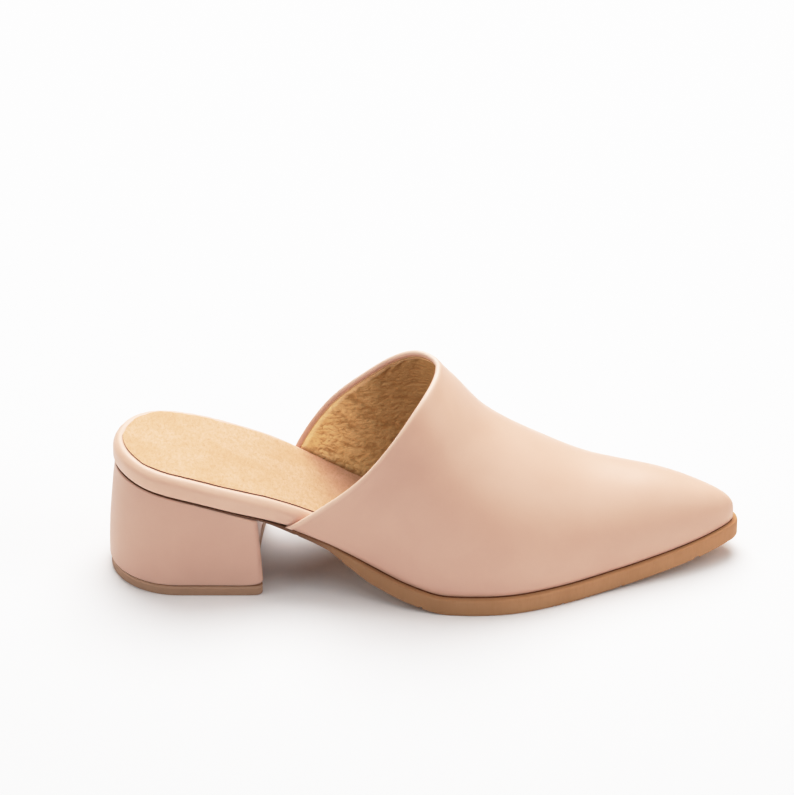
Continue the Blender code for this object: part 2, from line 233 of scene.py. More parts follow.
def turn_of(along):
    """The station angle of a share of the length: even steps of it crowd at heel and toe."""
    return np.arccos(1 - 2 * np.clip(along, 0.0, 1.0))


def along_of(turn):
    """The share of the length at a station angle."""
    return (1 - np.cos(turn)) / 2


def curves(kind, table, names, place=lambda along: along):
    """A curve for each column of a table but the first."""
    along, *columns = np.array(table).T
    return {name: kind(place(along), column) for name, column in zip(names[1:], columns)}


PLAN_CURVES = curves(FairCurve, PLAN, PLAN_COLUMNS, turn_of)
SECTION_CURVES = curves(FairCurve, SECTIONS, SECTION_COLUMNS, turn_of)
PROFILE_CURVES = curves(LevelCurve, PROFILE, PROFILE_COLUMNS)

FOOT_BACK = HEEL_SETBACK - BACK_FLARE
FOOT_FRONT = HEEL_SETBACK + HEEL_LENGTH + BREAST_FLARE
LAST_BACK = -(FOOT_BACK + FOOT_FRONT) / 2


def smooth_step(low, high, value):
    """0 below low, 1 above high, and smooth between."""
    t = np.clip((value - low) / (high - low), 0.0, 1.0)
    return t * t * (3 - 2 * t)


def share_at(x):
    """The share of the last's length at a world X."""
    return np.clip((x - LAST_BACK) / LAST_LENGTH, 0.0, 1.0)


def sole_top(x):
    """Height of the sole's top, which the upper and the insole stand on."""
    along = share_at(x)
    rise = PROFILE_CURVES["rise"](along) * (SEAT_HEIGHT - SOLE_THICKNESS)
    spring = PROFILE_CURVES["spring"](along) * TOE_SPRING
    return SOLE_THICKNESS + rise + spring


def sole_bottom(x):
    """Height of the sole's underside, skived thin toward the back of the seat."""
    skive = 0.16 + 0.44 * smooth_step(-0.015, 0.030, x) + 0.40 * smooth_step(0.030, 0.050, x)
    return sole_top(x) - PROFILE_CURVES["sole"](share_at(x)) * SOLE_THICKNESS * skive


def insole_top(x):
    """Height of the insole's top, which the sock lies on."""
    return sole_top(x) + CLEARANCE + PROFILE_CURVES["board"](share_at(x)) * INSOLE_THICKNESS


def plan_point(turn, side):
    """The last's plan at a station angle, on side -1 (lateral) or 1 (medial): X and Y."""
    ball = PLAN_CURVES["ball"](turn)
    width = SEAT_WIDTH * (1 - ball) + BALL_WIDTH * ball
    reach = np.where(side < 0, PLAN_CURVES["lateral"](turn), PLAN_CURVES["medial"](turn))
    return np.stack([LAST_BACK + LAST_LENGTH * along_of(turn), reach * width], -1)


def plan_offset(turn, side, outward):
    """The last's plan moved outward, square to its edge."""
    run = plan_point(turn + NUDGE, side) - plan_point(turn - NUDGE, side)
    run /= np.linalg.norm(run, axis=-1, keepdims=True)
    square = side * np.stack([-run[..., 1], run[..., 0]], -1)
    ends = (turn <= NUDGE) | (turn >= math.pi - NUDGE)
    tip = np.stack([-np.cos(turn), np.zeros_like(turn)], -1)
    square = np.where(ends[..., None], tip, square)
    return plan_point(turn, side) + np.asarray(outward)[..., None] * square


def last_point(turn, lean):
    """Points of the last: lean runs from -90 degrees, lateral, over the ridge to 90."""
    side = np.where(lean < 0, -1.0, 1.0)
    feather = plan_point(turn, side)
    section = {name: curve(turn) for name, curve in SECTION_CURVES.items()}
    ridge = section["ridge"] * BALL_WIDTH
    rise = np.clip(np.cos(lean), 0.0, 1.0)
    out = np.abs(np.sin(lean))
    fullness = np.where(lean < 0, 1.0, MEDIAL_FULLNESS)
    swell = section["bulge"] * BALL_WIDTH * 2 * rise * out ** 3 * fullness
    across = ridge + (feather[..., 1] - ridge) * out ** section["side"] + side * swell
    height = section["height"] * INSTEP_HEIGHT * rise ** section["crown"]
    return np.stack([feather[..., 0], across, sole_top(feather[..., 0]) + CLEARANCE + height], -1)


def unit(vectors):
    """Vectors of length 1."""
    return vectors / np.maximum(np.linalg.norm(vectors, axis=-1, keepdims=True), 1e-12)


def last_normal(turn, lean):
    """Outward direction of the last's surface, level where it meets the sole."""
    low, high = np.maximum(lean - NUDGE, -FEATHER), np.minimum(lean + NUDGE, FEATHER)
    along = last_point(turn + NUDGE, lean) - last_point(turn - NUDGE, lean)
    normal = unit(np.cross(along, last_point(turn, high) - last_point(turn, low)))
    level = normal * (1.0, 1.0, 0.0)
    normal = np.where((np.abs(lean) > FEATHER - NUDGE)[..., None], unit(level), normal)
    return np.where((turn >= math.pi - NUDGE)[..., None], (1.0, 0.0, 0.0), normal)


def topline_turn(lean):
    """Station angle of the topline, which runs from the corners up to the throat."""
    climb = np.clip(np.cos(lean), 0.0, 1.0)
    corner = np.where(lean > 0, MEDIAL_CORNER, LATERAL_CORNER)
    medial = MEDIAL_RISE * climb + (1 - MEDIAL_RISE) * climb ** 4
    reach = np.where(lean > 0, medial, climb ** LATERAL_SWEEP)
    return turn_of((corner + (THROAT_REACH - corner) * reach) / LAST_LENGTH)


def wall_at(x, lean):
    """Thickness of the vamp at a world X, thinner toward the lower corner of its side."""
    corner = LAST_BACK + np.where(lean > 0, MEDIAL_CORNER, LATERAL_CORNER)
    return CORNER_WALL + (UPPER_WALL - CORNER_WALL) * smooth_step(0.0, CORNER_SKIVE, x - corner)


# Meshes


def spots(x, y, z=0.0):
    """Places in millimetres, for the noise."""
    return np.stack(np.broadcast_arrays(x, y, z), -1) * PER_METRE


def ripple(points):
    """Smooth noise from -1 to 1 at rows of points."""
    values = [noise.noise(Vector(row)) for row in points.reshape(-1, 3).tolist()]
    return np.array(values).reshape(points.shape[:-1])


def unevenness(spot, *layers):
    """Layers of noise, each with a size in millimetres, a seed and a height, added up."""
    return sum(height * ripple(spot / size + seed) for size, seed, height in layers)


def ridges(points, width):
    """Noise with thin lines: 1 on a line and 0 well away from it."""
    return np.clip(1 - np.abs(ripple(points)) * 6.5 / width, 0.0, 1.0) ** 2


def swell_at(value, centre, spread):
    """A soft swell: 1 at its centre, and nearly gone at twice its spread."""
    return np.exp(-((value - centre) / spread) ** 2)


def round_trip(out, back):
    """Rings that go along one set of rows and come back along another."""
    return np.concatenate([out, back[:, ::-1]], axis=1)


def finish_mesh(name, mesh, sharp):
    """Close a mesh, turn it outward, smooth it up to sharp degrees and put it in the scene."""
    body = bmesh.new()
    body.from_mesh(mesh)
    bmesh.ops.remove_doubles(body, verts=body.verts, dist=2e-6)
    bmesh.ops.dissolve_degenerate(body, edges=body.edges, dist=1e-6)
    bmesh.ops.recalc_face_normals(body, faces=body.faces)
    if body.calc_volume(signed=True) < 0:
        bmesh.ops.reverse_faces(body, faces=body.faces)
    body.to_mesh(mesh)
    body.free()
    mesh.shade_smooth()
    mesh.set_sharp_from_angle(angle=math.radians(sharp))
    piece = bpy.data.objects.new(name, mesh)
    bpy.context.scene.collection.objects.link(piece)
    return piece


def ring_solid(name, rings, sharp, closed_by=(), marks=None):
    """A solid through rings of points, rows by points by 3, with a float mark at each point."""
    rows, count = rings.shape[:2]
    index = np.arange(rows * count).reshape(rows, count)
    after = np.roll(index, -1, axis=1)
    faces = np.stack([index[:-1], after[:-1], after[1:], index[1:]], -1).reshape(-1, 4).tolist()
    for row, corners in closed_by:
        faces.append([int(index[row, corner]) for corner in corners])
    mesh = bpy.data.meshes.new(name)
    mesh.from_pydata(rings.reshape(-1, 3).tolist(), [], faces)
    for mark, values in (marks or {}).items():
        layer = mesh.attributes.new(mark, "FLOAT", "POINT")
        layer.data.foreach_set("value", np.asarray(values, np.float32).ravel())
    return finish_mesh(name, mesh, sharp)


def settle(piece, node, material):
    """Give a piece its body and its material, and hide the solid that it stands for."""
    piece.data.materials.append(material)
    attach(piece, BODY)
    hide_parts(node)


# Vamp and lining

# Soft folds of the leather, placed one by one. Each row holds its place along (a share of
# LAST_LENGTH), its lean round the last (degrees, lateral under 0), its heading (degrees from
# toeward to medial), and its length, width and depth inward (mm, under 0 for a ridge).
VAMP_FOLDS = (
    (0.560, -34, 62, 26.0, 7.0, 0.30),
    (0.600, -22, 70, 22.0, 8.0, -0.16),
    (0.515, -52, 40, 20.0, 8.0, 0.22),
    (0.660, -46, 75, 22.0, 9.0, 0.16),
    (0.700, -30, 80, 18.0, 9.0, -0.12),
    (0.440, -62, 20, 20.0, 7.0, 0.20),
    (0.560, 34, -62, 26.0, 7.0, 0.28),
    (0.640, 42, -72, 20.0, 8.0, 0.16),
)
LINING_FOLDS = (
    (0.450, 38, 100, 13.0, 1.3, 0.75),
    (0.478, 30, 104, 14.0, 1.2, 0.75),
    (0.500, 18, 80, 14.0, 1.5, 0.60),
    (0.420, 46, 118, 10.0, 1.0, 0.55),
    (0.400, 62, 20, 15.0, 1.0, 0.60),
    (0.430, 68, 12, 18.0, 1.1, 0.65),
    (0.385, 72, 30, 12.0, 0.9, 0.50),
    (0.455, 58, -6, 17.0, 1.1, 0.55),
    (0.480, 74, 4, 16.0, 1.0, 0.50),
    (0.415, 78, 8, 20.0, 1.0, 0.50),
    (0.440, 50, 16, 14.0, 1.0, 0.50),
    (0.395, 54, 40, 9.0, 0.9, 0.50),
)


def fold_depth(points, table):
    """How far inward the listed folds take rows of points, in metres."""
    depth = np.zeros(points.shape[:-1])
    for along, degrees, heading, *measures in table:
        length, width, deep = (measure * MILLIMETRE for measure in measures)
        turn = turn_of(along)
        lean = np.array(math.radians(degrees))
        normal = last_normal(turn, lean)
        ahead = unit(last_point(turn + NUDGE, lean) - last_point(turn - NUDGE, lean))
        aside = np.cross(normal, ahead)
        aside = aside if aside[1] > 0 else -aside
        angle = math.radians(heading)
        line = ahead * math.cos(angle) + aside * math.sin(angle)
        gap = points - last_point(turn, lean)
        run = gap @ line
        off = gap @ np.cross(normal, line) + 0.06 * run ** 2 / length
        depth += deep * np.exp(-2 * (run / length) ** 2) * np.exp(-2 * (off / width) ** 2)
    return depth


def vamp_grid(steps, stations, ribs):
    """Turns and leans of a grid from the topline to the toe, with the distance from the topline.

    steps are distances square to the topline; stations more follow, up to the toe."""
    even = np.linspace(-FEATHER, FEATHER, ribs)
    lean = even + 0.06 * np.sin(2 * even)
    lean[0], lean[-1] = -FEATHER, FEATHER
    start = topline_turn(lean)
    run = (last_point(start + NUDGE, lean) - last_point(start - NUDGE, lean)) / (2 * NUDGE)
    inner = np.clip(lean, -FEATHER + NUDGE, FEATHER - NUDGE)
    before = last_point(topline_turn(inner - NUDGE), inner - NUDGE)
    along = unit(last_point(topline_turn(inner + NUDGE), inner + NUDGE) - before)
    speed = np.linalg.norm(np.cross(run, along), axis=-1)
    speed = np.maximum(speed, 0.55 * np.linalg.norm(run, axis=-1))
    near = [start + step / speed for step in steps]
    rest = math.pi - near[-1]
    turn = np.array(near + [near[-1] + rest * station / stations for station in range(1, stations + 1)])
    return turn, np.broadcast_to(lean, turn.shape), (turn - start) * speed


def rounded_half(rounds, rows):
    """Half the thickness of a layer, as a share, row by row from its rounded edge on."""
    return np.concatenate([np.sin(rounds), np.ones(rows - len(rounds))])[:, None]


def vamp_layer(name, turn, lean, outer, inner, marks, tuck=0.0):
    """A layer of the vamp between two distances outside the last, turned in at the sole by tuck."""
    point = last_point(turn, lean)
    normal = last_normal(turn, lean)
    low = (np.abs(lean) > FEATHER - 1e-6)[..., None]
    rise = point[..., 2] - sole_top(point[..., 0]) - CLEARANCE
    turned = tuck * np.clip(1 - rise / (1.6 * tuck + 1e-9), 0.0, 1.0) ** 2
    faces = []
    for offset in (outer - turned, inner):
        skin = point + normal * offset[..., None]
        level = np.stack([skin[..., 0], skin[..., 1], sole_top(skin[..., 0]) + CLEARANCE], -1)
        faces.append(np.where(low, level, skin))
    count = turn.shape[1]
    ends = [(0, (rib, rib + 1, 2 * count - 2 - rib, 2 * count - 1 - rib)) for rib in range(count - 1)]
    blunt = np.abs(outer[0] - inner[0]).max() > 1e-5
    both = {mark: round_trip(value, value) for mark, value in marks.items()}
    return ring_solid(name, round_trip(*faces), 60, ends if blunt else (), both)


def make_vamp(sizes):
    """The outer leather with its turned topline."""
    radius = UPPER_WALL / 2
    turned = sizes.fold_width
    rounds = np.linspace(0, math.pi / 2, 7)
    steps = [*(radius * (1 - np.cos(rounds)))]
    steps += [radius + (turned - radius) * step / 3 for step in (1, 2, 3)]
    steps += [turned + gap * MILLIMETRE for gap in (0.25, 1.2, 2.6)]
    turn, lean, distance = vamp_grid(steps, stations=128, ribs=150)
    half = radius * rounded_half(rounds, len(turn))
    point = last_point(turn, lean)
    skive = wall_at(point[..., 0], lean) / UPPER_WALL
    outer = (radius + half) * skive
    inner = (radius - half) * skive
    leather = (UPPER_WALL - sizes.leather_thickness) * skive
    inner = np.where(distance > turned + 0.1 * MILLIMETRE, leather, inner)
    far = smooth_step(0.003, 0.010, distance)
    relief = fold_depth(point, VAMP_FOLDS) * far
    relief += 0.05 * MILLIMETRE * ripple(point * 55) * far
    relief += 0.020 * MILLIMETRE * ripple(point * 160 + 7) * smooth_step(0.002, 0.006, distance)
    # The turned edge stands a little proud, with a shallow hollow where its inner layer ends
    proud = 0.16 * swell_at(distance, 0.0022, 0.0016)
    hollow = 0.20 * swell_at(distance, 0.0062, 0.0022)
    outer = outer - relief + (proud - hollow) * MILLIMETRE
    return vamp_layer("vamp", turn, lean, outer, inner, {"from_topline": distance}, TUCK)


def lining_relief(point, distance):
    """The lining's wrinkles: thin lines from 0 up, and soft unevenness either way."""
    warp = ripple(point * 70 + 3)
    place = point * PER_METRE
    x, y, z = np.moveaxis(place, -1, 0)
    slant = x * 0.74 + z * 0.67
    across = -x * 0.67 + z * 0.74
    # Gathers square to the topline
    gathers = ridges(np.stack([slant / 2.5 + warp, across / 15, y / 9], -1), 1.5)
    gathers *= np.exp(-distance / 0.0075)
    # Lines that fan out lower down
    fall = z + 0.16 * x
    fans = ridges(np.stack([x / 9 + warp * 0.8, y / 12, fall / 2.4 + warp * 1.6], -1), 1.4)
    fans += 0.6 * ridges(np.stack([x / 5 + 9, y / 7, fall / 1.5 + warp * 1.5], -1), 1.5)
    fans *= smooth_step(0.003, 0.010, distance)
    # Short creases in every direction
    crazing = ridges(place / 4.4 + warp[..., None] * 0.7, 1.1)
    return gathers + fans + 0.28 * crazing, unevenness(place, (11, 0, 0.45), (5, 4, 0.25))


def make_lining(sizes):
    """The wrinkled lining, cut off just under the turned topline."""
    radius = LINING_THICKNESS / 2
    rounds = np.linspace(0, math.pi / 2, 5)
    steps = [*(sizes.fold_width - LINING_OVERLAP + radius * (1 - np.cos(rounds)))]
    steps += [steps[-1] + LINING_ROW * step for step in range(1, 89)]
    turn, lean, distance = vamp_grid(steps, stations=46, ribs=230)
    point = last_point(turn, lean)
    lines, soft = lining_relief(point, distance)
    far = smooth_step(0.0025, 0.005, distance)
    seen = smooth_step(0.100, 0.060, distance)
    folds = fold_depth(point, LINING_FOLDS)
    relief = (lines * 0.30 * MILLIMETRE + soft * 0.18 * MILLIMETRE) * sizes.wrinkle_depth * seen * far
    relief += folds * 0.8 * far
    half = rounded_half(rounds, len(turn)) * radius
    middle = radius - 0.22 * MILLIMETRE * swell_at(np.maximum(distance, 0.003), 0.003, 0.002)
    inner = middle - half + np.clip(relief, -0.3 * MILLIMETRE, 0.75 * MILLIMETRE)
    outer = middle + half + np.clip(relief, 0.0, 0.25 * MILLIMETRE)
    # How deep the lining is creased: the material paints shade in the creases from it.
    crease_shade = np.clip((lines * sizes.wrinkle_depth + folds / MILLIMETRE * 1.6) * far, 0.0, 1.0)
    marks = {"from_topline": distance, "crease_shade": crease_shade * seen}
    return vamp_layer("vamp_lining", turn, lean, outer, inner, marks)


# Insole, sock and sole


def slab(name, turn, edge, sharp=50.0):
    """A slab through rings. edge(turn, side) gives outward offsets and heights, from the foot up."""
    halves = []
    for side in (-1, 1):
        outward, height = edge(turn, side)
        flat = plan_offset(np.broadcast_to(turn[:, None], outward.shape), side, outward)
        halves.append(np.concatenate([flat, height(flat[..., 0])[..., None]], -1))
    return ring_solid(name, round_trip(*halves), sharp)


def make_rim():
    """The padded board in its leather wrapping: a round bead all along the edge."""
    radius = RIM_ROUNDING
    angles = np.linspace(0, math.pi / 2, 9)
    # Insets, and shares of the board's height, from the foot up
    aside, below = 1 - np.sin(angles), (1 - np.cos(angles)) / INSOLE_THICKNESS
    low = radius / 2 * np.stack([aside, below])
    high = np.stack([radius * aside, 1 - radius * below])[:, ::-1]
    flat = np.stack([radius + np.array([0.5, 1.0, 1.6]) * MILLIMETRE, np.ones(3)])
    inset, share = np.concatenate([low, [[0.0], [0.4]], high, flat], axis=1)
    bead = 0.42 * swell_at(inset, 0.0028, 0.0013) * (share > 0.55)
    top = swell_at(share, 0.93, 0.10)

    def edge(turn, side):
        spot = spots(*plan_point(turn, side).T)
        back = smooth_step(1.25, 0.75, turn) * (0.35 + 0.65 * (side > 0))
        pucker = (unevenness(spot, (2.6, 0, 1.0), (1.3, 5, 0.5)) * back)[:, None] * top
        wave = unevenness(spot, (16, 2, 1.0))[:, None]
        outward = 0.10 * MILLIMETRE * (wave + pucker) - CLEARANCE - inset
        lift = (bead + 0.16 * pucker + 0.06 * wave * top) * MILLIMETRE

        def height(x):
            bottom = sole_top(x) + CLEARANCE
            return bottom + (insole_top(x) - bottom) * share + lift

        return outward, height

    return slab("wrapped_rim", np.linspace(0, math.pi, 420), edge)


def make_sock(sizes):
    """The suede sock: a thin sheet with a knife-cut edge that wanders a little."""
    turn = np.linspace(0, math.pi, 300)
    edges = []
    for side in (-1, 1):
        x, y = plan_point(turn, side).T
        bare = SOCK_INSET - SOCK_SPREAD * (side > 0) * smooth_step(0.035, 0.060, x)
        wander = unevenness(spots(x, y), (9, 0, 0.45), (3.2, 4, 0.16))
        wander = wander * sizes.sock_wander * (1.0 + 0.8 * (side > 0))
        edges.append(plan_offset(turn, side, -CLEARANCE - bare + wander * MILLIMETRE)[:, None])
    across = np.linspace(-1, 1, 41)[:, None]
    flat = edges[0] * (1 - across) / 2 + edges[1] * (1 + across) / 2
    x, y = np.moveaxis(flat, -1, 0)
    swell = unevenness(spots(x, y), (17, 0, 0.10), (7, 3, 0.05)) * MILLIMETRE
    middle = np.abs(across[:, 0])
    low = insole_top(x) + CLEARANCE / 2
    top = low + SOCK_THICKNESS + swell * (1 - middle ** 8) - 0.10 * MILLIMETRE * (middle > 0.995)
    return ring_solid("sock", round_trip(np.stack([x, y, top], -1), np.stack([x, y, low], -1)), 35)


# The edge of the sole in section: share of its height from the foot up, and inset in mm.
SOLE_EDGE = (
    (0.0, 0.55), (0.015, 0.25), (0.05, 0.08), (0.10, 0.0), (0.25, 0.0), (0.5, 0.0), (0.72, 0.0),
    (0.86, 0.0), (0.93, 0.06), (0.975, 0.22), (1.0, 0.50), (1.0, 1.2), (1.0, 3.4),
)


def make_outsole(sizes):
    """The sole with its ledge, its broken edges and the nicks of wear and trimming."""
    share, inset = np.array(SOLE_EDGE).T
    lowness = swell_at(share, 0.0, 0.09)

    def edge(turn, side):
        spot = spots(*plan_point(turn, side).T)
        along = along_of(turn)
        full = PROFILE_CURVES["sole"](along)[:, None]
        ledge = PROFILE_CURVES["ledge"](along)[:, None] * (SOLE_LEDGE + UPPER_WALL)
        small = np.clip(unevenness(spot, (1.7, 11, 1.0)) - 0.25, 0, 1)
        where = np.clip(unevenness(spot, (9, 2, 1.0)) + 0.25, 0, 1)
        nick = (small * where)[:, None] * lowness * MILLIMETRE * sizes.nick_depth
        chatter = unevenness(spot, (0.9, 5, 0.035))[:, None] * MILLIMETRE
        outward = ledge - inset * MILLIMETRE * np.minimum(full, 1.0) - 2.2 * nick + chatter

        def height(x):
            top, bottom = sole_top(x), sole_bottom(x)
            return bottom + (top - bottom) * share + 2.4 * nick * full

        return outward, height

    return slab("outsole_skin", np.linspace(0, math.pi, 620), edge, sharp=40)


def make_gap_shade():
    """A dark strip of painted shade in the gap where the vamp meets the sole."""
    inset = np.array([1.6, 0.50, 0.42, 0.42, 0.50, 1.6]) * MILLIMETRE
    rise = np.array([-0.05, -0.05, 0.0, 0.55, 0.62, 0.62]) * MILLIMETRE

    def edge(turn, side):
        outward = np.broadcast_to(UPPER_WALL - inset, (len(turn), len(inset)))
        return outward, lambda x: sole_top(x) + rise

    start = turn_of(MEDIAL_CORNER / LAST_LENGTH) + 0.02
    return slab("gap_shade_strip", np.linspace(start, math.pi, 300), edge)


# Heel


def heel_plan(station, across, depth, inset):
    """The heel's plan: station 0 at the back to 1 at the breast, depth 0 at the top to 1 below."""
    back = LAST_BACK + HEEL_SETBACK - BACK_FLARE * np.sin(depth * math.pi / 2) + inset
    front = LAST_BACK + HEEL_SETBACK + HEEL_LENGTH + BREAST_FLARE * depth - inset
    half = SEAT_WIDTH / 2 - HEEL_INSET + SIDE_FLARE * depth - inset
    length = front - back
    round_share = half / length
    x = back + station * length
    width = np.sqrt(np.clip(1 - np.clip(1 - station / round_share, 0, 1) ** 2, 0, 1))
    to_breast = np.clip(BREAST_CORNER - (1 - station) * length, 0, BREAST_CORNER)
    corner = BREAST_CORNER - np.sqrt(BREAST_CORNER ** 2 - to_breast ** 2)
    hollow = BREAST_HOLLOW * (1 - across ** 2) * station ** 3
    return x - hollow, across * (half * width - corner)


def heel_outline():
    """Stations and places across, once round the heel's plan from the middle of the breast."""
    length = HEEL_LENGTH + BACK_FLARE + BREAST_FLARE
    round_share = (SEAT_WIDTH / 2 - HEEL_INSET) / length
    corner = BREAST_CORNER / length
    back = round_share * (1 - np.cos(np.linspace(0, math.pi / 2, 40)))
    side = np.linspace(round_share, 1 - corner, 26)[1:-1]
    bend = 1 - corner + corner * np.sin(np.linspace(0, math.pi / 2, 9))
    run = np.concatenate([back, side, bend])
    face = np.linspace(1, -1, 59)[1:-1]
    station = np.concatenate([run[::-1], run[1:], np.ones_like(face)])
    across = np.concatenate([np.ones_like(run), -np.ones_like(run[1:]), -face])
    return station, across


def heel_stack(name, top, bottom, levels, radius, base_inset, depths, relief):
    """A piece of the heel as a stack of outlines, its lower and upper edges rounded."""
    station, across = heel_outline()
    face = (station > AT_BREAST)[:, None]
    rows = []
    for level in levels:
        depth = depths[0] + (depths[1] - depths[0]) * level
        x, _ = heel_plan(station, across, depth, base_inset)
        high, low = top(x), bottom + 0 * x
        z = high + (low - high) * level
        drop = np.minimum(z - low, high - z)
        foot_reach = 1 + 1.3 * smooth_step(0.90, 1.0, station)
        reach = radius * np.where(z - low < high - z, foot_reach, 0.4)
        edge = reach - np.sqrt(np.clip(reach ** 2 - np.clip(reach - drop, 0, reach) ** 2, 0, None))
        x, y = heel_plan(station, across, depth, base_inset + edge)
        spread = unit(np.stack([x - x.mean(), y - y.mean()], -1))
        push = relief(x, y, z, station, across)[:, None] * np.where(face, (1.0, 0.0), spread)
        rows.append(np.stack([x + push[:, 0], y + push[:, 1], z], -1))
    rings = np.array(rows)
    centre = np.broadcast_to(rings.mean(axis=1, keepdims=True), rings.shape)
    middle = (rings + centre) / 2
    return ring_solid(name, np.array([centre[0], middle[0], *rings, middle[-1], centre[-1]]), 35)


def edge_levels(count, height, radius):
    """Levels of a stack, closer together at its two edges."""
    rim = radius / height * (1 - np.cos(np.linspace(0, math.pi / 2, 8)))
    middle = np.linspace(rim[-1], 1 - rim[-1], count)[1:-1]
    return np.concatenate([rim, middle, 1 - rim[::-1]])


def make_heel_block():
    """The block in its leather cover, the cover's ends turned in on the hollow breast."""
    def top(x):
        return sole_bottom(x) - 0.02 * MILLIMETRE

    def relief(x, y, z, station, across):
        push = unevenness(spots(x, y, z), (19, 0, 0.12), (5, 3, 0.03))
        wander = 0.05 * ripple(np.stack([z * PER_METRE / 8, np.sign(across) * 5, 0 * z], -1))
        inside = 1 - smooth_step(0.60, 0.66, np.abs(across) + wander)
        return (push - 0.45 * inside * (station > AT_BREAST)) * MILLIMETRE

    levels = edge_levels(60, SEAT_HEIGHT - SOLE_THICKNESS, 2.3 * MILLIMETRE)
    bottom = LIFT_THICKNESS + CLEARANCE
    return heel_stack("heel_cover", top, bottom, levels, HEEL_EDGE, 0.0, (0.0, 1.0), relief)


def make_top_lift():
    """The lift, with its ground edge."""
    def top(x):
        return LIFT_THICKNESS + 0 * x

    def relief(x, y, z, station, across):
        line = 0.10 * swell_at(z, 0.74 * LIFT_THICKNESS, 0.00022)
        return (unevenness(spots(x, y, z * 0.3), (1.2, 0, 0.035)) - line) * MILLIMETRE

    levels = edge_levels(26, LIFT_THICKNESS, 0.5 * MILLIMETRE)
    return heel_stack("heel_lift", top, 0.0, levels, LIFT_EDGE, LIFT_INSET, (1.0, 1.0), relief)


# Materials


class Value:
    """A number in a material: sums, differences and products of it add the Math nodes."""

    def __init__(self, finish, socket):
        self.finish = finish
        self.socket = socket

    def maths(self, operation, *terms, clamp=False):
        settings = {"operation": operation, "use_clamp": clamp}
        return self.finish.node("Math", settings, dict(enumerate(terms)))

    def __add__(self, other):
        return self.maths("ADD", self, other)

    def __sub__(self, other):
        return self.maths("SUBTRACT", self, other)

    def __rsub__(self, other):
        return self.maths("SUBTRACT", other, self)

    def __mul__(self, other):
        return self.maths("MULTIPLY", self, other)

    __radd__ = __add__
    __rmul__ = __mul__

    def clear(self):
        """The value kept between 0 and 1."""
        return self.maths("ADD", self, 0.0, clamp=True)

    def away(self):
        """The value without its sign."""
        return self.maths("ABSOLUTE", self)


class Finish:
    """A material and the nodes that make it."""

    def __init__(self, name, **fixed):
        self.material = bpy.data.materials.new(name)
        self.material.use_nodes = True
        self.tree = self.material.node_tree
        self.shader = self.tree.nodes["Principled BSDF"]
        for socket, value in fixed.items():
            self.shader.inputs[socket.replace("_", " ")].default_value = value
        self.place = self.node("TexCoord", output="Object")

    def node(self, kind, settings=None, values=None, output=0):
        """Add a node: its settings first, then the values or links of its sockets."""
        node = self.tree.nodes.new("ShaderNode" + kind)
        for key, value in (settings or {}).items():
            setattr(node, key, value)
        for key, value in (values or {}).items():
            self.feed(node.inputs[key], value)
        return Value(self, node.outputs[output])

    def feed(self, socket, value):
        if isinstance(value, Value):
            self.tree.links.new(value.socket, socket)
        else:
            socket.default_value = value

    def stretched(self, scale, turned=(0.0, 0.0, 0.0)):
        """The place on the piece, scaled by axis and turned."""
        angles = [math.radians(angle) for angle in turned]
        return self.node("Mapping", None, {"Vector": self.place, "Rotation": angles, "Scale": scale})

    def cloud(self, size, detail=3.0, roughness=0.5, place=None, distortion=0.0):
        """Noise from 0 to 1 whose features are about a size in millimetres."""
        values = {
            "Vector": place or self.place,
            "Scale": PER_METRE / size,
            "Detail": detail,
            "Roughness": roughness,
            "Distortion": distortion,
        }
        return self.node("TexNoise", None, values)

    def pebble(self, size, place=None, feature="SMOOTH_F1", output="Distance"):
        """The round cells of leather grain, a size in millimetres apart."""
        values = {"Vector": place or self.place, "Scale": PER_METRE / size}
        return self.node("TexVoronoi", {"feature": feature}, values, output)

    def step(self, value, low, high):
        """0 below low, 1 above high, smooth between."""
        settings = {"interpolation_type": "SMOOTHSTEP"}
        return self.node("MapRange", settings, {"Value": value, "From Min": low, "From Max": high})

    def mark(self, name):
        """A number that the mesh carries at its points."""
        return self.node("Attribute", {"attribute_name": name}, None, "Fac")

    def axis(self, letter):
        """One coordinate of the place, in metres."""
        return self.node("SeparateXYZ", None, {"Vector": self.place}, letter.upper())

    def mix(self, factor, first, second):
        """A colour between two colours."""
        settings = {"data_type": "RGBA", "clamp_factor": True}
        return self.node("Mix", settings, {0: factor, 6: paint(first), 7: paint(second)}, 2)

    def layered(self, base, *layers, under=None):
        """A colour, or a tone made from it, under layers of a mask and a shade: factors of the colour."""
        tone = under or base
        for mask, shade in layers:
            tone = self.mix(mask, tone, shade_of(base, shade))
        return tone

    def bump(self, *layers):
        """Relief from (height, strength, depth in millimetres) layers, the coarse ones first."""
        normal = None
        for height, strength, depth in layers:
            values = {"Height": height, "Strength": strength, "Distance": depth * MILLIMETRE}
            if normal is not None:
                values["Normal"] = normal
            normal = self.node("Bump", None, values)
        self.feed(self.shader.inputs["Normal"], normal)

    def colour(self, tone):
        self.tone = tone
        self.feed(self.shader.inputs["Base Color"], tone)

    def roughness(self, value):
        self.feed(self.shader.inputs["Roughness"], value)


def paint(value):
    """A colour with its alpha, or a link as it is."""
    return value if isinstance(value, Value) else (*tuple(value)[:3], 1.0)


def shade_of(colour, factors):
    """A colour made darker or lighter, by one factor for each channel."""
    return tuple(min(channel * factor, 1.0) for channel, factor in zip(colour, factors))


